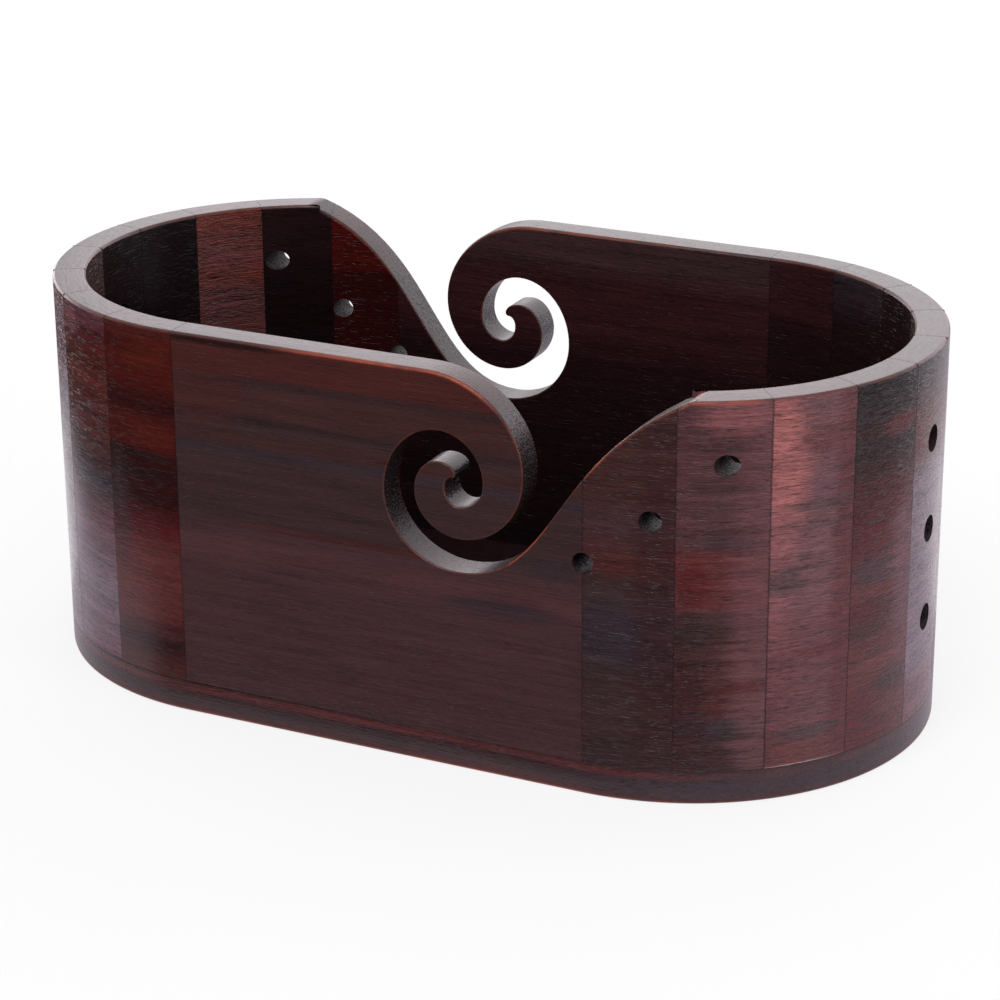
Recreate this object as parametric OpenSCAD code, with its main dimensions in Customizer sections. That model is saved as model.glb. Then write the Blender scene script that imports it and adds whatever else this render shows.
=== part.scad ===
/* [Body] */
// Overall length, over the two rounded ends
body_l = 280; // [240:1:360]
// Overall width, over the two long walls
body_w = 150; // [120:1:170]
// Height from the bench to the rim
body_h = 120; // [105:1:180]
// Thickness of the wall panels and staves
wall_t = 10; // [6:0.5:14]
// Thickness of the base board
base_t = 10; // [5:0.5:18]
// Number of staves round each end
staves = 9; // [5:2:15]
// Radius of the eased arris along the rim and under the base board
arris_r = 1; // [0.4:0.1:2.5]

/* [Scroll slot] */
// Distance from the end of the straight wall in to the axis of the scroll
scroll_in = 38; // [30:0.5:50]
// Depth of the scroll's axis below the rim
scroll_drop = 34; // [31:0.5:42]
// Reach of the eye from its axis to the bulb
eye_r = 4.5; // [3:0.1:6.5]
// Depth of the eye below its axis
eye_deep = 5.3; // [3.5:0.1:7]
// Height of the nib's underside above the axis
nib_rise = 3.2; // [2:0.1:4.5]
// Thickness of the nib
nib_t = 4.3; // [3:0.1:6]
// Radius of the nib's tip
nib_r = 1.1; // [0.6:0.1:1.4]
// Width of the slot at the nib
slot_w = 8.5; // [5:0.1:10]
// Widening of the slot with each quarter turn
slot_flare = 0.5; // [0:0.05:0.9]
// Width of the tongue round the bulb and under the eye
tongue_w = 9.6; // [6:0.1:12]
// Width of the hook between the eye and the mouth
hook_w = 12.5; // [8:0.1:15]
// Distance from the hook to where the mouth meets the rim
mouth_w = 47; // [35:0.5:56]
// Depth of the mouth's shoulder below the rim
shoulder_drop = 18.5; // [12:0.5:24]

/* [Side holes] */
// Diameter of the side holes
side_hole_d = 6.4; // [3:0.1:10]
// Spacing of the side holes along the wall
side_hole_pitch = 19; // [14:0.5:20]
// Depth of the first side hole below the rim
side_hole_drop_1 = 49.5; // [46:0.5:56]
// Depth of the second side hole below the rim
side_hole_drop_2 = 35; // [30:0.5:42]
// Depth of the third side hole below the rim
side_hole_drop_3 = 18.4; // [14:0.2:26]

/* [End holes] */
// Diameter of the end holes
end_hole_d = 8; // [4:0.1:12]
// Number of end holes at each end
end_holes = 3; // [1:1:3]
// Depth of the top end hole below the rim
end_hole_drop = 26; // [14:0.5:30]
// Spacing of the end holes
end_hole_pitch = 27.5; // [15:0.5:28]

/* [Hidden] */

$fn = 96;
end_r = body_w / 2;
straight_l = body_l - body_w;
stave_angle = 180 / staves;
// How far a cutting shape stands past the wood that it cuts
past = 2;

// Place of the scroll's axis on the long wall
scroll_x = straight_l / 2 - scroll_in;
scroll_z = body_h - scroll_drop;

// Turning points of the scroll, where its edge runs level or upright
nib_under = scroll_z + nib_rise;
nib_top = nib_under + nib_t;
nib_tip = scroll_x - nib_r;
eye_left = scroll_x - eye_r;
eye_low = scroll_z - eye_deep;
eye_right = nib_tip + slot_w;
bulb_left = eye_left - tongue_w;
tongue_low = eye_low - tongue_w;
hook_right = eye_right + hook_w;
slot_top = nib_top + slot_w + slot_flare;
slot_left = bulb_left - slot_w - 2 * slot_flare;
slot_low = tongue_low - slot_w - 3 * slot_flare;
mouth_x = hook_right + mouth_w;

// The level places of the edge drift to the left of the axis, turn by turn
slot_low_x = scroll_x - 0.8;
crown_x = scroll_x - 6.3;
hook_x = scroll_x - 11;
// The upright places of the edge step up from the slot's left side to the hook
slot_left_z = scroll_z - 3.5;
bulb_left_z = scroll_z - 2;
eye_right_z = scroll_z + 2.5;
hook_right_z = scroll_z + 6.5;

// Steps in each curved stretch of the scroll and of the mouth
quarter_steps = 16;
mouth_steps = 36;

// A quarter of an ellipse from a level place of the edge to an upright one
function level_to_upright(a, b) = [
    for (i = [0:quarter_steps - 1])
        let (t = 90 * i / quarter_steps)
        [a.x + (b.x - a.x) * sin(t), b.y + (a.y - b.y) * cos(t)]
];

// A quarter of an ellipse from an upright place of the edge to a level one
function upright_to_level(a, b) = [
    for (i = [0:quarter_steps - 1])
        let (t = 90 * i / quarter_steps)
        [b.x + (a.x - b.x) * cos(t), a.y + (b.y - a.y) * sin(t)]
];

// The scroll's edge through its turning points, the first of them level
function scroll_edge(turns) = [
    for (k = [0:len(turns) - 2])
        each (k % 2 == 0
            ? level_to_upright(turns[k], turns[k + 1])
            : upright_to_level(turns[k], turns[k + 1]))
];

// A cubic curve from a to d, drawn towards b and c
function pulled_curve(a, b, c, d, steps) = [
    for (i = [0:steps - 1])
        let (t = i / steps, s = 1 - t)
        s * s * s * a + 3 * s * s * t * b + 3 * s * t * t * c + t * t * t * d
];

// Outline of the wood that is cut away, seen from the front
module slot_outline() {
    turns = [
        [slot_low_x, slot_low],
        [slot_left, slot_left_z],
        [crown_x, slot_top],
        [eye_right, eye_right_z],
        [scroll_x, eye_low],
        [eye_left, scroll_z],
        [nib_tip - nib_r, nib_under],
        [nib_tip, nib_under + nib_r],
        [crown_x, nib_top],
        [bulb_left, bulb_left_z],
        [scroll_x, tongue_low],
        [hook_right, hook_right_z],
        [hook_x, body_h]
    ];
    mouth = pulled_curve(
        [mouth_x, body_h],
        [hook_right + slot_w, body_h - shoulder_drop],
        [hook_right + slot_w + slot_flare, slot_low],
        [slot_low_x, slot_low],
        mouth_steps
    );
    polygon(concat(
        mouth,
        scroll_edge(turns),
        [[hook_x, body_h], [hook_x, body_h + past], [mouth_x, body_h + past]]
    ));
}

// The slot goes straight through the front wall, square to it
module scroll_slot() {
    rotate([90, 0, 0])
        linear_extrude(height = end_r + past)
            slot_outline();
}

// The row of holes climbs beside the mouth, from the joint of panel and stave
module side_holes() {
    drops = [side_hole_drop_1, side_hole_drop_2, side_hole_drop_3];
    for (i = [0:len(drops) - 1])
        translate([straight_l / 2 + i * side_hole_pitch, 0, body_h - drops[i]])
            rotate([90, 0, 0])
                cylinder(d = side_hole_d, h = end_r + past);
}

// The column of holes goes through the middle of the right end
module end_hole_column() {
    for (i = [0:end_holes - 1])
        translate([straight_l / 2, 0, body_h - end_hole_drop - i * end_hole_pitch])
            rotate([0, 90, 0])
                cylinder(d = end_hole_d, h = end_r + past);
}

// What is cut from the front wall and the right end, and the same turned round
module cuts() {
    for (turn = [0, 180])
        rotate([0, 0, turn]) {
            scroll_slot();
            side_holes();
            end_hole_column();
        }
}

// Section of the wall, standing on the base board, with both rim arrises eased
module wall_section(inner) {
    translate([inner, base_t])
        square([wall_t, body_h - base_t - arris_r]);
    translate([inner + arris_r, base_t])
        square([wall_t - 2 * arris_r, body_h - base_t]);
    for (x = [inner + arris_r, inner + wall_t - arris_r])
        translate([x, body_h - arris_r])
            circle(r = arris_r);
}

// Section of the base board from its middle out, with the lower arris eased
module base_section() {
    translate([0, arris_r])
        square([end_r, base_t - arris_r]);
    square([end_r - arris_r, base_t]);
    translate([end_r - arris_r, arris_r])
        circle(r = arris_r);
}

// The base board has the outline of the whole box
module base_board() {
    color("#4b2a2c") {
        rotate([90, 0, 90])
            linear_extrude(height = straight_l, center = true) {
                base_section();
                mirror([1, 0]) base_section();
            }
        for (x = [-straight_l / 2, straight_l / 2])
            translate([x, 0, 0])
                rotate_extrude() base_section();
    }
}

// One long wall, at the front, with its share of the slot and the holes
module long_wall() {
    difference() {
        rotate([90, 0, 90])
            linear_extrude(height = straight_l, center = true)
                translate([-end_r, 0]) wall_section(0);
        cuts();
    }
}

// One stave of the right end, counted from the front
module end_stave(i) {
    difference() {
        translate([straight_l / 2, 0, 0])
            rotate([0, 0, (i - 1) * stave_angle - 90])
                rotate_extrude(angle = stave_angle)
                    wall_section(end_r - wall_t);
        cuts();
    }
}

// Stain of the staves, which varies from board to board
tones = ["#5c2b24", "#6e3128", "#4a2b2e", "#7a3a30"];
function tone(i) = tones[i % len(tones)];

module front_panel() color("#4e3033") long_wall();

module back_panel() color("#472a2c") rotate([0, 0, 180]) long_wall();

module right_stave(i) color(tone(i)) end_stave(i);

module left_stave(i) color(tone(i + 1)) rotate([0, 0, 180]) end_stave(staves + 1 - i);

base_board();
front_panel();
back_panel();
for (i = [1:staves]) {
    right_stave(i);
    left_stave(i);
}
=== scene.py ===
from math import cos, pi, radians, sin

import bmesh
import bpy
from mathutils import Matrix, Vector


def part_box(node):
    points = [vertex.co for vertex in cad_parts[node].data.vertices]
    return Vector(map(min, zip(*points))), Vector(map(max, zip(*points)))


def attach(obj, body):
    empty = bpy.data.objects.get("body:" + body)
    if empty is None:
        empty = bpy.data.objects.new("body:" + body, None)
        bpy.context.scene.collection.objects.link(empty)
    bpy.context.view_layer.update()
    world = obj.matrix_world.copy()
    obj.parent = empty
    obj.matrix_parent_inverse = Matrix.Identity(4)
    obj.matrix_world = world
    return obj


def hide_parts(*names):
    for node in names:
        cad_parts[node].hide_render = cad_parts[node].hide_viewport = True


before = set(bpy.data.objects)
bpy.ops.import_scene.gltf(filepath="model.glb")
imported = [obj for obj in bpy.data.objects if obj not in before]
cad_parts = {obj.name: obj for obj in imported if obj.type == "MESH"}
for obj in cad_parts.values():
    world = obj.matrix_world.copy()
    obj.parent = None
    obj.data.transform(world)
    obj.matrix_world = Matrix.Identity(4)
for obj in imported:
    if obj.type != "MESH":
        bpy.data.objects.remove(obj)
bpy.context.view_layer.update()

MM = 0.001

# Sizes of the box, read from the CAD nodes
panel_low, panel_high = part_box("front_panel")
OUTER_R = -panel_low.y
INNER_R = -panel_high.y
SEAM_X = panel_high.x
RIM_Z = panel_high.z
FLOOR_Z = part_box("base_board")[1].z
STAVES = sum(name.startswith("right_stave_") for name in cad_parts)
STAVE_TURN = pi / STAVES

# Places of the holes, as in part.scad
SIDE_HOLES = [(65, 70.5), (84, 85), (103, 101.6)]
SIDE_HOLE_R = 3.2 * MM
END_HOLES = [94, 66.5, 39]
END_HOLE_R = 4 * MM

# Turning points of the scroll's edge in mm on the front wall, as in part.scad: (x, z, runs level)
SCROLL_TURNS = [
    (26.2, 61.1, True),
    (3.4, 82.5, False),
    (20.7, 102.5, True),
    (34.4, 88.5, False),
    (27, 80.7, True),
    (22.5, 86, False),
    (24.8, 89.2, True),
    (25.9, 90.3, False),
    (20.7, 93.5, True),
    (12.9, 84, False),
    (27, 71.1, True),
    (46.9, 92.5, False),
    (16, 120, True),
]
# Where the mouth meets the rim, and the two points that pull its curve
MOUTH_RIM = (93.9, 120)
MOUTH_PULL = [(55.4, 101.5), (55.9, 61.1)]
PAST_RIM = 2
# How far a curve's handles reach towards the corner, for a quarter of an ellipse
QUARTER_REACH = 0.5523

# Radii of the eased edges
RIM_ARRIS = 1.0 * MM
SLOT_ARRIS = 0.5 * MM
GLUE_LINE = 0.12 * MM
MOUTH_CORNER = 1.0 * MM
# The slot's arris widens between these heights, up to the rim
ARRIS_WIDENS = (96 * MM, 114 * MM)
# Wear at the border of an eased edge, as a share of the wear on its middle
BORDER_WEAR = 0.3

# Flat steps in each round stretch
STAVE_STEPS = 11
BASE_END_STEPS = 9 * STAVES
SLOT_STEPS = 24
HOLE_STEPS = 48
ARRIS_STEPS = 3
# Reach of the slot's cutter to each side of the middle of the wall, and the drill's length
SLOT_REACH = 10 * MM
DRILL_LENGTH = 60 * MM

# Marks on the sawn faces, along the grain and across it, and on the drilled ones
ALONG_GRAIN, ACROSS_GRAIN, DRILLED = 0.25, 1.0, 2.0

# Corners nearer than this are welded, places nearer than the next are the same, and the
# facets of a round wall lie this near its true curve
WELD = 0.002 * MM
TOUCH = 0.01 * MM
FACET = 0.05 * MM
# Least part of a face's normal that points a way, for a face square to it or on a round wall
SQUARE_TO = 0.999
FACING = 0.9
# Edges that bend less than this aren't eased, and less than the next are shaded smooth
EASED_BEND = radians(12)
SHARP_BEND = radians(35)


# Modelling


def select_only(obj):
    """Leaves one object selected and active, in object mode."""
    if bpy.context.object and bpy.context.object.mode != "OBJECT":
        bpy.ops.object.mode_set(mode="OBJECT")
    bpy.ops.object.select_all(action="DESELECT")
    obj.select_set(True)
    bpy.context.view_layer.objects.active = obj


def name_piece(obj, name):
    obj.name = name
    obj.data.name = name
    return obj


def bake_place(obj):
    """Puts the object's place into its mesh."""
    select_only(obj)
    bpy.ops.object.transform_apply(location=True, rotation=True, scale=True)
    return obj


def copy_of(obj, name):
    twin = obj.copy()
    twin.data = obj.data.copy()
    bpy.context.collection.objects.link(twin)
    return name_piece(twin, name)


def apply_modifiers(obj):
    select_only(obj)
    for modifier in list(obj.modifiers):
        bpy.ops.object.modifier_apply(modifier=modifier.name)


def wall_section(x):
    """The upright section of a wall, standing on the base board, at the front of an end."""
    bpy.ops.object.select_all(action="DESELECT")
    bpy.ops.mesh.primitive_plane_add(size=1, rotation=(radians(90), 0, radians(90)))
    obj = bpy.context.object
    obj.scale = (OUTER_R - INNER_R, RIM_Z - FLOOR_Z, 1)
    obj.location = (x, -(OUTER_R + INNER_R) / 2, (RIM_Z + FLOOR_Z) / 2)
    return bake_place(obj)


def mend_normals(obj):
    select_only(obj)
    bpy.ops.object.mode_set(mode="EDIT")
    bpy.ops.mesh.select_all(action="SELECT")
    bpy.ops.mesh.remove_doubles(threshold=WELD)
    bpy.ops.mesh.normals_make_consistent(inside=False)
    bpy.ops.object.mode_set(mode="OBJECT")


def straight_board():
    """The front panel before it is cut: the section drawn out along the wall."""
    obj = wall_section(-SEAM_X)
    bpy.ops.object.mode_set(mode="EDIT")
    bpy.ops.mesh.select_all(action="SELECT")
    bpy.ops.mesh.extrude_region_move(TRANSFORM_OT_translate={"value": (2 * SEAM_X, 0, 0)})
    bpy.ops.object.mode_set(mode="OBJECT")
    mend_normals(obj)
    return obj


def curved_stave():
    """A stave before it is cut: the section spun by its share of the half circle."""
    obj = wall_section(0)
    bpy.ops.object.mode_set(mode="EDIT")
    bpy.ops.mesh.select_all(action="SELECT")
    bpy.ops.mesh.spin(steps=STAVE_STEPS, angle=-STAVE_TURN, center=(0, 0, 0), axis=(0, 0, 1))
    bpy.ops.object.mode_set(mode="OBJECT")
    mend_normals(obj)
    return obj


def base_board_shape():
    """The base board: half of its section's edge, carried once round the oblong."""
    bpy.ops.object.select_all(action="DESELECT")
    bpy.ops.mesh.primitive_plane_add(size=1, rotation=(radians(90), 0, radians(90)))
    obj = bpy.context.object
    obj.scale = (OUTER_R, FLOOR_Z, 1)
    obj.location = (-SEAM_X, -OUTER_R / 2, FLOOR_Z / 2)
    bake_place(obj)
    bpy.ops.object.mode_set(mode="EDIT")
    bpy.ops.mesh.select_all(action="DESELECT")
    shape = bmesh.from_edit_mesh(obj.data)
    for edge in shape.edges:
        edge.select_set(all(abs(v.co.y) < TOUCH for v in edge.verts))
    bpy.ops.mesh.delete(type="EDGE")
    bpy.ops.mesh.select_all(action="SELECT")
    for turn_x, reach in ((SEAM_X, 2 * SEAM_X), (-SEAM_X, -2 * SEAM_X)):
        bpy.ops.mesh.extrude_edges_move(TRANSFORM_OT_translate={"value": (reach, 0, 0)})
        bpy.ops.mesh.spin(steps=BASE_END_STEPS, angle=-pi, center=(turn_x, 0, 0), axis=(0, 0, 1))
    bpy.ops.object.mode_set(mode="OBJECT")
    mend_normals(obj)
    return obj


def slot_cutter():
    """The scroll slot as a filled curve through its turning points, thick enough to pass the wall."""
    bpy.ops.object.select_all(action="DESELECT")
    bpy.ops.curve.primitive_bezier_curve_add(enter_editmode=False)
    obj = bpy.context.object
    curve = obj.data
    curve.dimensions = "2D"
    curve.fill_mode = "BOTH"
    curve.resolution_u = SLOT_STEPS
    curve.extrude = SLOT_REACH
    spline = curve.splines[0]
    spline.use_cyclic_u = True
    places = [MOUTH_RIM] + [turn[:2] for turn in SCROLL_TURNS]
    places += [(x, z + PAST_RIM) for x, z in (SCROLL_TURNS[-1][:2], MOUTH_RIM)]
    spline.bezier_points.add(len(places) - 2)
    points = spline.bezier_points
    for point, place in zip(points, places):
        point.handle_left_type = point.handle_right_type = "FREE"
        point.co = point.handle_left = point.handle_right = (place[0] * MM, place[1] * MM, 0)
    points[0].handle_right = (MOUTH_PULL[0][0] * MM, MOUTH_PULL[0][1] * MM, 0)
    points[1].handle_left = (MOUTH_PULL[1][0] * MM, MOUTH_PULL[1][1] * MM, 0)
    for k, (turn, after) in enumerate(zip(SCROLL_TURNS, SCROLL_TURNS[1:])):
        a, b = Vector((*turn[:2], 0)), Vector((*after[:2], 0))
        corner = Vector((b.x, a.y, 0)) if turn[2] else Vector((a.x, b.y, 0))
        points[k + 1].handle_right = a.lerp(corner, QUARTER_REACH) * MM
        points[k + 2].handle_left = b.lerp(corner, QUARTER_REACH) * MM
    obj.location = (0, -(OUTER_R + INNER_R) / 2, 0)
    obj.rotation_euler = (radians(90), 0, 0)
    select_only(obj)
    bpy.ops.object.convert(target="MESH")
    bake_place(obj)
    mend_normals(obj)
    return obj


def hole_cutter(radius, middle, direction):
    """A drill's path through the wall, whose sides mark the wood as drilled."""
    bpy.ops.object.select_all(action="DESELECT")
    bpy.ops.mesh.primitive_cylinder_add(vertices=HOLE_STEPS, radius=radius, depth=DRILL_LENGTH)
    obj = bpy.context.object
    obj.rotation_euler = (radians(90), 0, 0) if direction == "Y" else (0, radians(90), 0)
    obj.location = middle
    bake_place(obj)
    marks = obj.data.attributes.new("cut_face", "FLOAT", "FACE")
    marks.data.foreach_set("value", [DRILLED] * len(obj.data.polygons))
    return obj


def box_of(obj):
    """The lowest and highest corners of an object's mesh."""
    corners = [v.co for v in obj.data.vertices]
    return [[pick(co[k] for co in corners) for k in range(3)] for pick in (min, max)]


def boxes_meet(a, b):
    low_a, high_a = box_of(a)
    low_b, high_b = box_of(b)
    return all(low_a[k] < high_b[k] and low_b[k] < high_a[k] for k in range(3))


def cut(obj, cutters):
    """Cuts the board with each cutter that reaches it."""
    for cutter in cutters:
        if boxes_meet(obj, cutter):
            trim = obj.modifiers.new("cut", "BOOLEAN")
            trim.operation = "DIFFERENCE"
            trim.solver = "EXACT"
            trim.object = cutter
            apply_modifiers(obj)


def end_centre(point):
    """The middle line of the box nearest to a point: the axis that a wall is curved round."""
    return Vector((max(-SEAM_X, min(SEAM_X, point.x)), 0, 0))


def on_joint(place, ends, within):
    """Whether a place lies in the plane of one of the board's glued ends."""
    return any(abs((place - point).dot(way)) < within for point, way in ends)


def face_kind(face, ends):
    """Which surface of a board a face belongs to."""
    place = face.calc_center_median()
    spoke = place - end_centre(place)
    spoke.z = 0
    if face.normal.z > SQUARE_TO and place.z > RIM_Z - TOUCH:
        return "top"
    if face.normal.z < -SQUARE_TO and place.z < FLOOR_Z + TOUCH:
        return "bottom"
    for radius, kind, way in ((OUTER_R, "outer", 1), (INNER_R, "inner", -1)):
        reaches = [(v.co - end_centre(v.co)).to_2d().length for v in face.verts]
        on_wall = max(abs(reach - radius) for reach in reaches) < FACET
        if on_wall and face.normal.dot(spoke.normalized()) * way > FACING:
            return kind
    for point, way in ends:
        if abs(face.normal.dot(way)) > SQUARE_TO and on_joint(place, [(point, way)], TOUCH):
            return "joint"
    return "cut"


def arris_size(pair, height):
    """How far an edge is eased, from the kinds of its two faces and its height."""
    if "bottom" in pair and "outer" not in pair:
        return 0
    if pair == {"top", "cut"}:
        return MOUTH_CORNER
    if "joint" in pair or "bottom" in pair:
        return GLUE_LINE
    if "cut" in pair:
        low, high = ARRIS_WIDENS
        share = min(1, max(0, (height - low) / (high - low)))
        return SLOT_ARRIS + (RIM_ARRIS - SLOT_ARRIS) * share
    return RIM_ARRIS


def ease_edges(obj, ends):
    """Marks the sawn faces, rounds the rim and the slot, and leaves fine grooves at the glue lines."""
    shape = bmesh.new()
    shape.from_mesh(obj.data)
    cut_faces = shape.faces.layers.float.new("cut_face")
    weights = shape.edges.layers.float.new("bevel_weight_edge")
    kinds = {face: face_kind(face, ends) for face in shape.faces}
    for face, kind in kinds.items():
        spoke = face.calc_center_median() - end_centre(face.calc_center_median())
        grain = Vector((-spoke.y, spoke.x, 0)).normalized()
        across = abs(face.normal.dot(grain))
        if kind == "cut":
            face[cut_faces] = ALONG_GRAIN + (ACROSS_GRAIN - ALONG_GRAIN) * across
    for edge in shape.edges:
        if len(edge.link_faces) != 2:
            continue
        pair = {kinds[face] for face in edge.link_faces}
        if len(pair) == 1 or edge.calc_face_angle(0) < EASED_BEND:
            continue
        height = (edge.verts[0].co.z + edge.verts[1].co.z) / 2
        edge[weights] = arris_size(pair, height) / RIM_ARRIS
    shape.to_mesh(obj.data)
    shape.free()
    bevel_by_weight(obj)


def bevel_by_weight(obj):
    """Rounds each edge by its own weight, and gives the new faces the second material slot."""
    obj.data.materials.clear()
    obj.data.materials.append(None)
    obj.data.materials.append(None)
    easing = obj.modifiers.new("eased edges", "BEVEL")
    easing.limit_method = "WEIGHT"
    easing.width = RIM_ARRIS
    easing.segments = ARRIS_STEPS
    easing.use_clamp_overlap = False
    easing.loop_slide = False
    easing.material = 1
    apply_modifiers(obj)


def mark_arrises(obj, ends):
    """Keeps on each corner how far it lies on an eased edge, for the worn stain there."""
    mesh = obj.data
    eased = []
    groove = GLUE_LINE + TOUCH
    for face in mesh.polygons:
        on_glue = on_joint(face.center, ends, groove) or abs(face.center.z - FLOOR_Z) < groove
        eased.append(face.material_index == 1 and not on_glue)
    shares = [0] * len(mesh.vertices)
    counts = [0] * len(mesh.vertices)
    for face in mesh.polygons:
        for v in face.vertices:
            counts[v] += 1
            shares[v] += eased[face.index]
    worn = mesh.attributes.new("arris", "FLOAT", "CORNER")
    for face in mesh.polygons:
        for loop in face.loop_indices:
            v = mesh.loops[loop].vertex_index
            wear = 1 if shares[v] == counts[v] else BORDER_WEAR
            worn.data[loop].value = wear * eased[face.index]
        face.material_index = 0
    mesh.materials.pop(index=1)


def smooth(obj):
    select_only(obj)
    bpy.ops.object.shade_smooth_by_angle(angle=SHARP_BEND)
    even = obj.modifiers.new("even shading", "WEIGHTED_NORMAL")
    even.keep_sharp = True
    even.weight = 60
    apply_modifiers(obj)


# The boards

board = straight_board()
stave = curved_stave()
slot = slot_cutter()
drills = [hole_cutter(SIDE_HOLE_R, (x * MM, -OUTER_R, z * MM), "Y") for x, z in SIDE_HOLES]
drills += [hole_cutter(END_HOLE_R, (SEAM_X + OUTER_R, 0, z * MM), "X") for z in END_HOLES]


def made_board(name, start, turn, x, ends):
    """One board of the right or front side: placed, cut by the slot, eased and drilled."""
    obj = copy_of(start, name)
    obj.rotation_euler = (0, 0, turn)
    obj.location = (x, 0, 0)
    bake_place(obj)
    cut(obj, [slot])
    ease_edges(obj, ends)
    mark_arrises(obj, ends)
    cut(obj, drills)
    smooth(obj)
    return obj


def turned_copy(obj, name):
    """The same board half a turn round, on the other side of the box."""
    twin = copy_of(obj, name)
    twin.rotation_euler = (0, 0, pi)
    return bake_place(twin)


def made_base():
    """The base board, with its lower arris eased and a fine groove at the glue line."""
    obj = name_piece(base_board_shape(), "base_board_board")
    weights = obj.data.attributes.new("bevel_weight_edge", "FLOAT", "EDGE")
    for edge in obj.data.edges:
        a, b = [obj.data.vertices[v].co for v in edge.vertices]
        reach = min((co - end_centre(co)).to_2d().length for co in (a, b))
        if abs(a.z - b.z) < TOUCH and reach > OUTER_R - FACET:
            weights.data[edge.index].value = 1 if a.z < TOUCH else GLUE_LINE / RIM_ARRIS
    bevel_by_weight(obj)
    mark_arrises(obj, [])
    smooth(obj)
    return obj


pieces = {}
along = Vector((1, 0, 0))
panel_ends = [(Vector((-SEAM_X, 0, 0)), along), (Vector((SEAM_X, 0, 0)), along)]
pieces["front_panel"] = made_board("front_panel_board", board, 0, 0, panel_ends)
pieces["back_panel"] = turned_copy(pieces["front_panel"], "back_panel_board")
for i in range(1, STAVES + 1):
    turn = (i - 1) * STAVE_TURN
    centre = Vector((SEAM_X, 0, 0))
    ways = [Vector((cos(turn + k * STAVE_TURN), sin(turn + k * STAVE_TURN), 0)) for k in (0, 1)]
    ends = [(centre, way) for way in ways]
    right = made_board(f"right_stave_{i}_board", stave, turn, SEAM_X, ends)
    pieces[f"right_stave_{i}"] = right
    mirror_i = STAVES + 1 - i
    pieces[f"left_stave_{mirror_i}"] = turned_copy(right, f"left_stave_{mirror_i}_board")
pieces["base_board"] = made_base()

for tool in [board, stave, slot, *drills]:
    bpy.data.objects.remove(tool)


# Materials


def linear(hex_colour):
    """An sRGB hex colour as the linear values that Blender works in."""
    parts = [int(hex_colour[k : k + 2], 16) / 255 for k in (1, 3, 5)]
    return (*(c / 12.92 if c <= 0.04045 else ((c + 0.055) / 1.055) ** 2.4 for c in parts), 1)


def add(tree, kind, wires=None, **settings):
    """Adds a node with its settings, and a value or a link for each input that is named."""
    made = tree.nodes.new(kind)
    for name, value in settings.items():
        setattr(made, name, value)
    for socket, value in (wires or {}).items():
        if isinstance(value, bpy.types.NodeSocket):
            tree.links.new(value, made.inputs[socket])
        else:
            made.inputs[socket].default_value = value
    return made


# Dark mahogany spirit stain on pale hardwood, as it took on each kind of grain, with two mauve tones that
# also paint the lacquer's sheen
STAIN = {
    "black": linear("#120709"),
    "night": linear("#200f12"),
    "dark wine": linear("#311719"),
    "dark heart": linear("#2f1f20"),
    "cool heart": linear("#33272c"),
    "heart": linear("#382525"),
    "warm heart": linear("#3c2220"),
    "red brown": linear("#431e1b"),
    "rosy brown": linear("#41292b"),
    "rose": linear("#4a2c2e"),
    "pale rose": linear("#5c383b"),
    "salmon": linear("#764648"),
    "worn salmon": linear("#90524f"),
    "dark crimson": linear("#2a0707"),
    "crimson": linear("#410b06"),
    "ember": linear("#4a1408"),
    "wine": linear("#480f14"),
    "russet": linear("#522423"),
    "brick": linear("#592e31"),
    "mahogany": linear("#5f2318"),
    # A mauve stain that also paints part of the lacquer's sheen: partly a painted highlight
    "plum": linear("#59353d"),
    # Pale mauve-grey base colour that paints the lacquer's sheen: a painted highlight
    "lavender": linear("#66535d"),
    "dusty cut": linear("#3c2d2f"),
    "bare wood": linear("#b4512f"),
    "dried glue": linear("#9a8a88"),
}

# Sizes of the wood's figure in mm: along the grain, through the board, and up it.
# The fibre and pores of the real wood are 0.05 to 0.2 mm wide, too fine to show, so
# they are drawn about three times as coarse.
FIGURE = {
    "wander": ((120, 70, 45), 1),
    "streak": ((55, 9, 2.6), 3),
    "cloud": ((26, 14, 7), 2),
    "fibre": ((22, 1.1, 0.55), 3),
    "fleck": ((2.4, 0.9, 0.5), 2),
    "pore": ((5.5, 0.7, 0.42), 1),
    "pit": ((0.9, 0.9, 0.8), 2),
    "wear": ((9, 5, 5), 3),
}
# The rim's height in mm, and the share of even dark stain on it
TOP = round(RIM_Z / MM, 3)
RIM_STAIN = 0.85


def board_frame(tree, turn, centre_x):
    """A place in the board's own frame, in mm, with the grain along x."""
    swing = Matrix.Rotation(-turn, 3, "Z")
    return add(tree, "ShaderNodeMapping", {
        "Vector": add(tree, "ShaderNodeTexCoord").outputs["Object"],
        "Location": -1 / MM * (swing @ Vector((centre_x, 0, 0))),
        "Rotation": (0, 0, -turn),
        "Scale": (1 / MM, 1 / MM, 1 / MM),
    }).outputs[0]


def wood_figure(tree, spot, seed):
    """Each noise of the wood's figure, at its own place for every seed."""
    figure = {}
    for k, (part, (size, detail)) in enumerate(FIGURE.items()):
        stretched = add(tree, "ShaderNodeVectorMath", {
            0: spot, 1: [1 / side for side in size], 2: (seed * 3.7 + k, seed * 5.3, seed * 7.1),
        }, operation="MULTIPLY_ADD").outputs[0]
        figure[part] = add(tree, "ShaderNodeTexNoise", {
            "Vector": stretched, "Scale": 1, "Detail": detail, "Roughness": 0.55,
        }).outputs["Fac"]
    return figure


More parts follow.
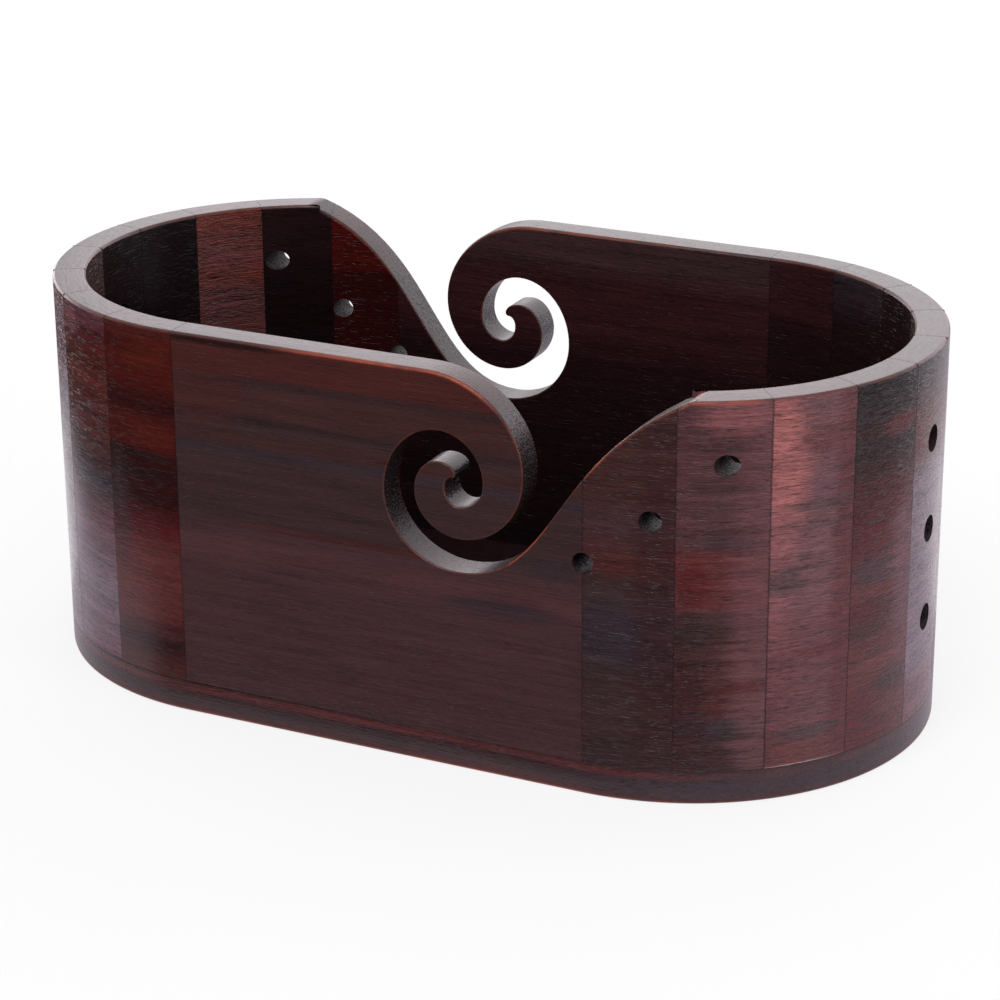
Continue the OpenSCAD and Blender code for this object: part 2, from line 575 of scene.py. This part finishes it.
def oval(tree, spot, ragged, x, z, half_x, half_z, strength):
    """The strength inside an oval on the board's face, and nothing outside, with ragged ends."""
    shift_x, shift_z = 0.5 * half_x + 6, 0.8 * half_z
    place = add(tree, "ShaderNodeMapping", {
        "Vector": add(tree, "ShaderNodeVectorMath", {
            0: ragged, 1: (shift_x, 0, shift_z), 2: spot}, operation="MULTIPLY_ADD").outputs[0],
        "Location": (-(x + shift_x / 2) / half_x, 0, -(z + shift_z / 2) / half_z),
        "Scale": (1 / half_x, 0, 1 / half_z),
    }).outputs[0]
    reach = add(tree, "ShaderNodeVectorMath", {0: place}, operation="LENGTH").outputs["Value"]
    return add(tree, "ShaderNodeMapRange", {0: reach, 1: 1.3, 2: 0.5, 3: 0, 4: strength},
               interpolation_type="SMOOTHSTEP").outputs[0]


def streaked(tree, figure, up, stains, wander):
    """Streaks of stain at their heights, wandering as the grain does."""
    height = add(tree, "ShaderNodeMath", {
        0: figure["wander"], 1: wander, 2: up}, operation="MULTIPLY_ADD").outputs[0]
    height = add(tree, "ShaderNodeMath", {
        0: figure["streak"], 1: wander / 2, 2: height}, operation="MULTIPLY_ADD").outputs[0]
    # Both noises lie about a half, which lifts the height by three quarters of the wander
    lift = wander * 0.75
    share = add(tree, "ShaderNodeMapRange", {0: height, 1: lift, 2: lift + TOP}).outputs[0]
    ramp = add(tree, "ShaderNodeValToRGB", {0: share})
    stops = ramp.color_ramp.elements
    for k, (z, stain) in enumerate(sorted(stains)):
        stop = stops[k] if k < 2 else stops.new(z / TOP)
        stop.position = z / TOP
        stop.color = STAIN[stain]
    return ramp.outputs["Color"]


def clouded(tree, figure, tone, cloudy):
    """Clouds where more of the dark stain soaked in."""
    clouds = add(tree, "ShaderNodeMapRange", {
        0: figure["cloud"], 1: 0.48, 2: 0.72, 3: 0, 4: cloudy}).outputs[0]
    deeper = add(tree, "ShaderNodeVectorMath", {
        0: tone, 1: (0.5, 0.62, 0.75)}, operation="MULTIPLY").outputs[0]
    return add(tree, "ShaderNodeMix", {0: clouds, 6: tone, 7: deeper}, data_type="RGBA").outputs[2]


def washed(tree, figure, spot, tone, washes):
    """Single washes of stain: x, z, half length, half height, stain, strength."""
    for *place, stain, strength in washes:
        mask = oval(tree, spot, figure["streak"], *place, strength)
        tone = add(tree, "ShaderNodeMix", {
            0: mask, 6: tone, 7: STAIN[stain]}, data_type="RGBA").outputs[2]
    return tone


def dashed(tree, figure, pores, tone, grain):
    """Fine light and dark dashes of fibre, flecks, pores and bands."""
    light = add(tree, "ShaderNodeMath", {
        0: figure["fibre"], 1: 1.2, 2: -0.05}, operation="MULTIPLY_ADD").outputs[0]
    light = add(tree, "ShaderNodeMath", {
        0: figure["fleck"], 1: 0.9, 2: light}, operation="MULTIPLY_ADD").outputs[0]
    light = add(tree, "ShaderNodeMath", {
        0: pores, 1: -0.35, 2: light}, operation="MULTIPLY_ADD").outputs[0]
    banded = add(tree, "ShaderNodeMath", {
        0: figure["streak"], 1: 0.5}, operation="SUBTRACT").outputs[0]
    light = add(tree, "ShaderNodeMath", {
        0: banded, 1: 1.1, 2: light}, operation="MULTIPLY_ADD").outputs[0]
    spread = 0.6 * grain
    light = add(tree, "ShaderNodeMapRange", {
        0: light, 1: 0.4, 2: 1.6, 3: 1 - spread, 4: 1 + spread}).outputs[0]
    return add(tree, "ShaderNodeVectorMath", {0: tone, "Scale": light}, operation="SCALE").outputs[0]


def glue_lined(tree, spot, along, rim, tone, joint, seams):
    """A faint dark glue line at the joint to the next board, which the rim hardly shows."""
    lean, start = joint
    sides = add(tree, "ShaderNodeVectorMath", {0: spot}, operation="ABSOLUTE").outputs[0]
    gap = add(tree, "ShaderNodeVectorMath", {
        0: sides, 1: (-cos(radians(lean)), sin(radians(lean)), 0),
    }, operation="DOT_PRODUCT").outputs["Value"]
    line = add(tree, "ShaderNodeMapRange", {
        0: gap, 1: 0.5 - start, 2: 0.1 - start, 3: 0, 4: 1}).outputs[0]
    side = add(tree, "ShaderNodeMapRange", {
        0: along, 1: -1, 2: 1, 3: seams[0], 4: seams[1]}).outputs[0]
    line = add(tree, "ShaderNodeMath", {0: line, 1: side}, operation="MULTIPLY").outputs[0]
    below = add(tree, "ShaderNodeMapRange", {0: rim, 1: 0, 2: RIM_STAIN, 3: 1, 4: 0.2}).outputs[0]
    line = add(tree, "ShaderNodeMath", {0: line, 1: below}, operation="MULTIPLY").outputs[0]
    return add(tree, "ShaderNodeMix", {
        0: line, 6: tone, 7: STAIN["black"]}, data_type="RGBA").outputs[2]


def sawn_through(tree, figure, sawn, end_grain, tone):
    """Sawn faces, dusty along the grain and dark where end grain soaked up the stain. Gives the
    tone, and the pits in the end grain."""
    dusty = add(tree, "ShaderNodeMath", {0: sawn, 1: 0.35}, operation="MULTIPLY").outputs[0]
    tone = add(tree, "ShaderNodeMix", {
        0: dusty, 6: tone, 7: STAIN["dusty cut"]}, data_type="RGBA").outputs[2]
    soaked = add(tree, "ShaderNodeMapRange", {
        0: figure["pit"], 1: 0.5, 2: 0.62, 3: 0.7, 4: 1}).outputs[0]
    dark = add(tree, "ShaderNodeMath", {0: soaked, 1: end_grain}, operation="MULTIPLY").outputs[0]
    tone = add(tree, "ShaderNodeMix", {
        0: dark, 6: tone, 7: STAIN["black"]}, data_type="RGBA").outputs[2]
    return tone, add(tree, "ShaderNodeMapRange", {0: dark, 1: 0.7, 2: 1, 3: 0, 4: 1}).outputs[0]


def rubbed_through(tree, figure, spot, tone, worn):
    """Edges rubbed through to the wood, most of all within the ovals of wear."""
    edge = add(tree, "ShaderNodeAttribute", attribute_name="arris").outputs["Fac"]
    rubbed = 0.1
    for place in worn:
        rubbed = add(tree, "ShaderNodeMath", {
            0: oval(tree, spot, figure["streak"], *place), 1: rubbed}, operation="MAXIMUM").outputs[0]
    patchy = add(tree, "ShaderNodeMapRange", {
        0: figure["wear"], 1: 0.36, 2: 0.54, 3: 0.25, 4: 1}).outputs[0]
    rubbed = add(tree, "ShaderNodeMath", {0: rubbed, 1: patchy}, operation="MULTIPLY").outputs[0]
    rubbed = add(tree, "ShaderNodeMath", {0: rubbed, 1: edge}, operation="MULTIPLY").outputs[0]
    return add(tree, "ShaderNodeMix", {
        0: rubbed, 6: tone, 7: STAIN["bare wood"]}, data_type="RGBA").outputs[2]


def raised_grain(tree, figure, pores, pits, planed, relief):
    """Relief of fibre, flecks and pores in mm, planed down on the rim and the sawn faces."""
    bumps = add(tree, "ShaderNodeMath", {
        0: figure["fibre"], 1: 0.25}, operation="MULTIPLY").outputs[0]
    bumps = add(tree, "ShaderNodeMath", {
        0: figure["fleck"], 1: 0.3, 2: bumps}, operation="MULTIPLY_ADD").outputs[0]
    bumps = add(tree, "ShaderNodeMath", {
        0: pores, 1: -0.18, 2: bumps}, operation="MULTIPLY_ADD").outputs[0]
    rough = add(tree, "ShaderNodeMapRange", {0: planed, 1: 0, 2: 0.5, 3: relief, 4: 0.12}).outputs[0]
    bumps = add(tree, "ShaderNodeMath", {0: bumps, 1: rough}, operation="MULTIPLY").outputs[0]
    bumps = add(tree, "ShaderNodeMath", {
        0: pits, 1: -0.2, 2: bumps}, operation="MULTIPLY_ADD").outputs[0]
    return add(tree, "ShaderNodeBump", {
        "Height": bumps, "Distance": MM, "Strength": 1.0}).outputs[0]


def stained_wood(name, turn, centre_x, stains, washes=(), seed=0, wander=12, cloudy=0.4,
                 relief=1.0, grain=1.0, worn=(), joint=(10, 0), seams=(0.2, 0.2)):
    """Stained hardwood under satin lacquer: streaks of stain along the grain, fine fibre and open
    pores that catch the light, and rubbed to the bare wood along its edges."""
    material = bpy.data.materials.new(name)
    material.use_nodes = True
    tree = material.node_tree
    tree.nodes.clear()
    spot = board_frame(tree, turn, centre_x)
    split = add(tree, "ShaderNodeSeparateXYZ", {0: spot})
    figure = wood_figure(tree, spot, seed)
    pores = add(tree, "ShaderNodeMapRange", {0: figure["pore"], 1: 0.6, 2: 0.7, 3: 0, 4: 1}).outputs[0]
    rim = add(tree, "ShaderNodeMapRange", {
        0: split.outputs["Z"], 1: TOP - 0.7, 2: TOP - 0.3, 3: 0, 4: RIM_STAIN}).outputs[0]
    cut_face = add(tree, "ShaderNodeAttribute", attribute_name="cut_face").outputs["Fac"]
    sawn = add(tree, "ShaderNodeMapRange", {
        0: cut_face, 1: 0, 2: ALONG_GRAIN, 3: 0, 4: 1}).outputs[0]
    end_grain = add(tree, "ShaderNodeMapRange", {0: cut_face, 1: 0.35, 2: 0.95, 3: 0, 4: 1}).outputs[0]
    drilled = add(tree, "ShaderNodeMapRange", {0: cut_face, 1: 1.2, 2: 1.8, 3: 0, 4: 1}).outputs[0]

    tone = streaked(tree, figure, split.outputs["Z"], stains, wander)
    tone = clouded(tree, figure, tone, cloudy)
    tone = washed(tree, figure, spot, tone, washes)
    # The rim took the dark stain evenly on every board
    tone = add(tree, "ShaderNodeMix", {0: rim, 6: tone, 7: STAIN["heart"]}, data_type="RGBA").outputs[2]
    tone = dashed(tree, figure, pores, tone, grain)
    tone = glue_lined(tree, spot, split.outputs["X"], rim, tone, joint, seams)
    tone, pits = sawn_through(tree, figure, sawn, end_grain, tone)
    tone = rubbed_through(tree, figure, spot, tone, worn)

    planed = add(tree, "ShaderNodeMath", {0: rim, 1: sawn}, operation="MAXIMUM").outputs[0]
    surface = raised_grain(tree, figure, pores, pits, planed, relief)
    # The lacquer is duller on end grain, and more so inside the drilled holes
    dull = add(tree, "ShaderNodeMath", {
        0: figure["fleck"], 1: 0.14, 2: 0.23}, operation="MULTIPLY_ADD").outputs[0]
    dull = add(tree, "ShaderNodeMath", {
        0: end_grain, 1: 0.08, 2: dull}, operation="MULTIPLY_ADD").outputs[0]
    dull = add(tree, "ShaderNodeMath", {0: drilled, 1: 0.2, 2: dull}, operation="MULTIPLY_ADD").outputs[0]
    wood = add(tree, "ShaderNodeBsdfPrincipled", {
        "Base Color": tone, "Roughness": dull, "IOR": 1.4, "Normal": surface})
    add(tree, "ShaderNodeOutputMaterial", {"Surface": wood.outputs[0]})
    return material


# The look of each board that shows in the photo or from behind: its stain by height in mm, some of it painted
# sheen or painted shade, the washes on it, the ovals where its edges are worn, and how strong the rest is.
# The others are plain.
PLAIN = [(10, "dark heart"), (40, "warm heart"), (75, "dark wine"), (100, "warm heart"), (120, "heart")]
BOARDS = {
    "front_panel": {
        "stains": [
            (10, "rosy brown"), (48, "rosy brown"), (56, "rose"), (62, "rosy brown"), (66, "heart"),
            (84, "heart"), (87, "cool heart"), (90, "warm heart"), (94, "heart"), (96, "dark heart"),
            (99, "warm heart"), (106, "warm heart"), (108.5, "dark heart"), (110, "red brown"),
            (120, "red brown"),
        ],
        "washes": [
            (-48, 118.6, 24, 1.2, "black", 0.7), (-55, 104, 13, 12, "red brown", 0.5),
            (40, 52, 22, 2.4, "cool heart", 0.8), (56, 67, 9, 4, "cool heart", 0.7),
            (-5, 64, 40, 1.3, "red brown", 0.6),
        ],
        "wander": 4, "cloudy": 0.3, "relief": 0.3, "grain": 0.6,
        "worn": [(-2, 120, 30, 6, 0.55), (22, 113, 14, 8, 0.5), (55, 68, 16, 12, 0.6), (10, 9, 90, 1.5, 0.5)],
    },
    "right_stave_1": {
        "stains": [
            (10, "dark heart"), (26, "heart"), (36, "heart"), (44, "cool heart"), (56, "cool heart"),
            (66, "heart"), (71, "red brown"), (84, "rosy brown"), (90, "warm heart"), (120, "warm heart"),
        ],
        "washes": [(9, 60, 8, 60, "dark wine", 0.55)],
        "wander": 5, "relief": 0.6, "grain": 0.8, "worn": [(0, 85, 20, 22, 0.8)],
    },
    "right_stave_2": {
        "stains": [
            (10, "dark wine"), (18, "dark wine"), (23, "cool heart"), (28, "red brown"), (52, "warm heart"),
            (57, "rosy brown"), (60, "russet"), (75, "russet"), (79, "rose"), (94, "rose"), (120, "rose"),
        ],
        "washes": [
            (-9, 30, 6, 30, "dark wine", 0.75), (-8, 52, 7, 5, "dark heart", 0.7),
            (-8, 68, 6, 7, "wine", 0.6), (11, 60, 9, 70, "pale rose", 0.7), (4, 116, 12, 5, "salmon", 0.8),
            (0, 95, 12, 1.5, "dark heart", 0.6), (2, 79, 10, 2, "cool heart", 0.6),
            (8, 36, 8, 2, "wine", 0.5),
        ],
        "wander": 5, "worn": [(0, 105, 20, 18, 0.8)], "seams": (0.2, 0.55),
    },
    "right_stave_3": {
        "stains": [
            (10, "russet"), (18, "russet"), (24, "brick"), (36, "brick"), (50, "brick"), (62, "pale rose"),
            # The plum at 94 mm paints part of the lacquer's sheen: a painted highlight
            (84, "pale rose"), (94, "plum"), (104, "pale rose"), (120, "pale rose"),
        ],
        "washes": [
            (-11, 100, 10, 26, "worn salmon", 0.85), (-12, 70, 7, 24, "salmon", 0.6),
            (-9, 66, 6, 4, "cool heart", 0.6), (11, 62, 5, 75, "wine", 0.7), (3, 107, 8, 5, "russet", 0.7),
            (2, 88, 12, 2, "rosy brown", 0.7), (4, 44, 10, 2, "wine", 0.6), (0, 20, 12, 3, "cool heart", 0.6),
            (0, 10, 14, 0.5, "dried glue", 0.6),
        ],
        "wander": 6, "relief": 1.2, "grain": 1.2, "seams": (0.45, 0.35),
    },
    "right_stave_4": {
        "stains": [
            (10, "wine"), (22, "wine"), (34, "russet"), (50, "wine"), (58, "russet"), (68, "wine"),
            (84, "crimson"), (92, "dark crimson"), (102, "night"), (105, "dark crimson"), (109, "night"),
            (120, "black"),
        ],
        "washes": [
            # The plum wash at the board's right side paints part of the lacquer's sheen: a painted highlight
            (9, 62, 6, 26, "plum", 0.8), (6, 105, 8, 3, "wine", 0.9), (5, 84, 9, 5, "wine", 0.7),
            (-4, 64, 10, 5, "cool heart", 0.7), (-6, 46, 8, 3, "dark wine", 0.7),
            (5, 28, 9, 4, "dark wine", 0.7), (6, 20, 9, 3, "russet", 0.8),
        ],
        "wander": 8, "grain": 1.4, "seams": (0.35, 0.2),
    },
    "right_stave_5": {
        "stains": [
            # The plum and mauve-grey from 10 to 84 mm paint the lacquer's sheen on the right end: a painted
            # highlight
            (10, "plum"), (20, "plum"), (28, "lavender"), (84, "lavender"), (92, "wine"), (104, "crimson"),
            (112, "night"), (120, "black"),
        ],
        "relief": 1.2, "grain": 1.1, "wander": 8,
    },
    "left_stave_1": {
        "stains": [
            (10, "red brown"), (20, "dark wine"), (30, "russet"), (50, "russet"), (58, "wine"),
            (66, "dark crimson"), (79, "dark crimson"), (83, "crimson"), (90, "crimson"),
            (96, "dark crimson"), (102, "crimson"), (116, "crimson"), (120, "red brown"),
        ],
        "washes": [
            (0, 74, 14, 2, "night", 0.7), (0, 80, 14, 1.5, "night", 0.7), (5, 87, 9, 3.5, "ember", 0.8),
            (4, 112, 10, 5, "ember", 0.7), (-10, 60, 5, 20, "cool heart", 0.5),
        ],
        "wander": 4, "cloudy": 0.25, "grain": 0.9, "relief": 0.25, "seams": (0.1, 0.25),
    },
    "left_stave_2": {
        # The plum and mauve-grey of this board, in its stains and its wash and most of all low down, paint
        # the lacquer's sheen: a painted highlight
        "stains": [
            (10, "plum"), (30, "lavender"), (54, "plum"), (60, "rosy brown"), (66, "cool heart"),
            (72, "dark wine"), (78, "red brown"), (106, "ember"), (112, "wine"), (120, "plum"),
        ],
        "washes": [(-8, 35, 7, 28, "lavender", 0.6), (-9, 114, 6, 6, "salmon", 0.5)],
        "wander": 5, "relief": 0.35, "grain": 1.4, "seams": (0.1, 0.1),
    },
    "left_stave_3": {
        # The mauve-grey and plum of this board paint the bright sheen near the box's left edge: a painted
        # highlight
        "stains": [(10, "lavender"), (90, "lavender"), (98, "plum"), (120, "plum")],
        "grain": 1.1,
    },
    "left_stave_5": {"stains": [(10, "black"), (120, "black")], "relief": 0.15},
    "left_stave_6": {"stains": [(10, "black"), (120, "black")], "relief": 0.15},
    "left_stave_7": {
        "stains": [(10, "crimson"), (90, "russet"), (98, "mahogany"), (104, "russet"), (120, "mahogany")],
        "relief": 1.2, "grain": 1.5, "wander": 5,
    },
    "left_stave_8": {"stains": [(10, "black"), (90, "black"), (120, "night")], "relief": 0.15},
    "left_stave_9": {
        "stains": [(10, "dark crimson"), (98, "dark crimson"), (104, "crimson"), (120, "crimson")],
        "relief": 0.3,
    },
    "right_stave_7": {"stains": [(10, "night"), (120, "night")], "relief": 0.2},
    "right_stave_8": {"stains": [(10, "black"), (104, "night"), (120, "cool heart")], "relief": 0.2},
    "right_stave_9": {
        "stains": [(10, "black"), (96, "night"), (104, "dark wine"), (120, "dark wine")],
        "relief": 0.25,
    },
    "back_panel": {
        # The stain darkens from the rim down to the bottom: painted shade of the inside of the box, where the
        # inner face shows
        "stains": [
            (10, "black"), (75, "night"), (90, "dark wine"), (104, "dark wine"), (112, "heart"),
            (120, "heart"),
        ],
        "wander": 9, "relief": 0.25, "grain": 0.9, "worn": [(0, 120, 60, 5, 0.3)],
    },
    "base_board": {
        "stains": [
            (0, "red brown"), (1.5, "red brown"), (3, "heart"), (5, "dark heart"), (6.5, "dark wine"),
            (8, "russet"), (9.3, "red brown"), (9.9, "night"), (10, "black"),
        ],
        "washes": [(120, 5, 60, 5, "cool heart", 0.7)],
        "wander": 1.2, "relief": 0.4, "worn": [(0, 0, 120, 2, 0.5)],
    },
}

# The base board has no glued ends, so its joint is out of reach
NO_JOINT = (0, 1000)


def board_place(node):
    """How a board's grain is turned, what it is turned about, and its joint where that isn't a stave's."""
    side, *_, last = node.split("_")
    if side == "right":
        return {"turn": (int(last) - 0.5) * STAVE_TURN, "centre_x": SEAM_X}
    if side == "left":
        return {"turn": (STAVES + 0.5 - int(last)) * STAVE_TURN + pi, "centre_x": -SEAM_X}
    joint = NO_JOINT if side == "base" else (0, SEAM_X / MM)
    return {"turn": pi if side == "back" else 0, "centre_x": 0, "joint": joint}


for k, (node, piece) in enumerate(pieces.items()):
    look = {"stains": PLAIN, **BOARDS.get(node, {}), **board_place(node)}
    wood = stained_wood(f"stained hardwood, {node.replace('_', ' ')}", seed=k + 1, **look)
    piece.data.materials.clear()
    piece.data.materials.append(wood)
    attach(piece, "root")
    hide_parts(node)


# The stage: a white table, lit plainly, that runs on as a white background

bpy.ops.object.select_all(action="DESELECT")
bpy.ops.mesh.primitive_plane_add(size=16)
floor = name_piece(bpy.context.object, "floor")


def seen_directly(tree):
    """One for rays that show the background: straight, mirrored or passed on."""
    path = add(tree, "ShaderNodeLightPath")
    seen = add(tree, "ShaderNodeMath", {
        0: path.outputs["Is Camera Ray"], 1: path.outputs["Is Glossy Ray"]}, operation="MAXIMUM").outputs[0]
    return add(tree, "ShaderNodeMath", {
        0: seen, 1: path.outputs["Is Transmission Ray"]}, operation="MAXIMUM").outputs[0]


def white_table():
    """Matt white paint that glows where it is seen, so that it runs on into the background."""
    table = bpy.data.materials.new("matt white table")
    table.use_nodes = True
    tree = table.node_tree
    tree.nodes.clear()
    seen = seen_directly(tree)
    paint = add(tree, "ShaderNodeMix", {
        0: seen, 6: linear("#dcdcdc"), 7: linear("#818181")}, data_type="RGBA").outputs[2]
    glow = add(tree, "ShaderNodeMath", {0: seen, 1: 0.75}, operation="MULTIPLY").outputs[0]
    matt = add(tree, "ShaderNodeBsdfDiffuse", {"Color": paint}).outputs[0]
    cast = add(tree, "ShaderNodeMix", {
        0: add(tree, "ShaderNodeLightPath").outputs["Is Camera Ray"],
        6: linear("#fcf0ff"),
        7: linear("#ffffff"),
    }, data_type="RGBA").outputs[2]
    shine = add(tree, "ShaderNodeEmission", {"Color": cast, "Strength": glow}).outputs[0]
    both = add(tree, "ShaderNodeAddShader", {0: matt, 1: shine}).outputs[0]
    add(tree, "ShaderNodeOutputMaterial", {"Surface": both})
    return table


floor.data.materials.append(white_table())

world = bpy.data.worlds.new("studio")
bpy.context.scene.world = world
world.use_nodes = True
tree = world.node_tree
strength = add(tree, "ShaderNodeMapRange", {0: seen_directly(tree), 3: 0.55, 4: 1.0}).outputs[0]
tree.links.new(strength, tree.nodes["Background"].inputs["Strength"])
tree.nodes["Background"].inputs["Color"].default_value = (1, 1, 1, 1)

# The photo's wood mirrors a small white sheet and a dark room beyond it. Black cards lie
# round the place of that sheet, half a millimetre up, and show only in the wood. Corners in m.
CARDS = {
    "front and left card": [
        (0.22, -0.085), (-0.09, -0.085), (-0.15, -0.135), (-0.25, -0.065), (-0.27, 0), (-0.3, 0.08),
        (-0.36, 0.3), (-2.5, 1.2), (-2.5, -2.5), (0.9, -2.5),
    ],
    "right card": [
        (0.22, -0.085), (0.25, -0.03), (0.265, 0.06), (0.25, 0.14), (0.23, 0.21), (0.3, 0.5),
        (2.5, 1.2), (2.5, -2.5), (0.9, -2.5),
    ],
}
# Two sheets that glow brighter than white and show only in the wood's reflections: painted reflections, on
# the left and at the back
GLOWING_SHEETS = {
    "glowing sheet on the left": [(-0.15, 0.01), (-0.16, -0.02), (-0.26, 0), (-0.3, 0.08), (-0.23, 0.09)],
    "sheet at the back": [(0.02, 0.09), (0.14, 0.09), (0.19, 0.14), (0.2, 0.2), (0.04, 0.32)],
}
# A black curtain stands round the camera's side, from the left to the right
CURTAIN_R = 2
CURTAIN_HEIGHT = 2
CURTAIN_ANGLES = [radians(200 + 8 * k) for k in range(20)]


def stage_cloth(name, **inputs):
    """A plain material for the stage, from the values of its inputs."""
    material = bpy.data.materials.new(name)
    material.use_nodes = True
    for socket, value in inputs.items():
        shader = material.node_tree.nodes["Principled BSDF"]
        shader.inputs[socket.replace("_", " ")].default_value = value
    return material


def mirrored_only(name, corners, sides, material):
    """A sheet of the stage that shows in the wood's reflections and nowhere else."""
    sheet = bpy.data.meshes.new(name)
    sheet.from_pydata(corners, [], sides)
    sheet.materials.append(material)
    card = bpy.data.objects.new(name, sheet)
    bpy.context.collection.objects.link(card)
    card.visible_camera = card.visible_diffuse = False
    card.visible_shadow = card.visible_transmission = False


felt = stage_cloth("black felt", Base_Color=linear("#191919"), Roughness=1)
# It glows though it is no lamp and shows only in reflections: a painted reflection
glowing_sheet = stage_cloth("glowing white sheet", Emission_Color=(1, 0.97, 1, 1), Emission_Strength=0.9)
for outlines, material, height in ((CARDS, felt, MM / 2), (GLOWING_SHEETS, glowing_sheet, MM)):
    for name, corners in outlines.items():
        mirrored_only(name, [(x, y, height) for x, y in corners], [range(len(corners))], material)
folds = [
    (CURTAIN_R * cos(angle), CURTAIN_R * sin(angle), z)
    for angle in CURTAIN_ANGLES
    for z in (0, CURTAIN_HEIGHT)
]
drops = [(k, k + 2, k + 3, k + 1) for k in range(0, len(folds) - 2, 2)]
mirrored_only("black curtain", folds, drops, felt)

# Soft boxes: name, place, size in m, radiance. All are aimed at the middle of the box.
BOX_MIDDLE = Vector((0, 0, 0.08))
SOFT_BOXES = [
    ("back soft box", (-0.25, 1.4, 0.75), (1.7, 0.9), 1.7),
    ("right soft box", (1.15, -0.3, 0.36), (0.6, 0.7), 3.4),
    ("right back soft box", (0.75, 0.95, 0.34), (0.8, 0.66), 2.2),
    ("left soft box", (-1.15, 0.5, 0.3), (0.8, 0.58), 3.2),
    ("front soft box", (0.1, -1.0, 1.3), (1.2, 0.8), 4.5),
]
for name, spot, size, radiance in SOFT_BOXES:
    lamp = bpy.data.lights.new(name, "AREA")
    lamp.shape = "RECTANGLE"
    lamp.size, lamp.size_y = size
    lamp.color = (1, 0.935, 1)
    lamp.energy = radiance * pi * size[0] * size[1]
    lamp_obj = bpy.data.objects.new(name, lamp)
    bpy.context.collection.objects.link(lamp_obj)
    lamp_obj.location = spot
    lamp_obj.rotation_euler = (BOX_MIDDLE - Vector(spot)).to_track_quat("-Z", "Y").to_euler()
    lamp_obj.visible_camera = False

# The camera, fitted to the photograph's outline: its angles, its place along its own axes in m,
# from behind it, to its right and up, and its focal length as a share of the picture's width
AZIMUTH, ELEVATION, ROLL = radians(25.921), radians(21.18), radians(-0.357)
BACK, RIGHT, UP = 0.951611, 0.002784, 0.048772
FOCAL_SHARE = 3.038527
back_way = Vector((sin(AZIMUTH) * cos(ELEVATION), -cos(AZIMUTH) * cos(ELEVATION), sin(ELEVATION)))
right_way = Vector((cos(AZIMUTH), sin(AZIMUTH), 0))
up_way = back_way.cross(right_way)
right_rolled = cos(ROLL) * right_way + sin(ROLL) * up_way
up_rolled = -sin(ROLL) * right_way + cos(ROLL) * up_way
camera = bpy.data.cameras.new("camera")
camera_obj = bpy.data.objects.new("camera", camera)
bpy.context.collection.objects.link(camera_obj)
place = BACK * back_way + RIGHT * right_rolled + UP * up_rolled
columns = [axis.to_4d() for axis in (right_rolled, up_rolled, back_way, place)]
for column, end in zip(columns, (0, 0, 0, 1)):
    column.w = end
camera_obj.matrix_world = Matrix(columns).transposed()
camera.sensor_width = 36
camera.lens = camera.sensor_width * FOCAL_SHARE
camera.clip_start = 0.05
camera.clip_end = 50
bpy.context.scene.camera = camera_obj
bpy.context.scene.view_settings.view_transform = "Standard"
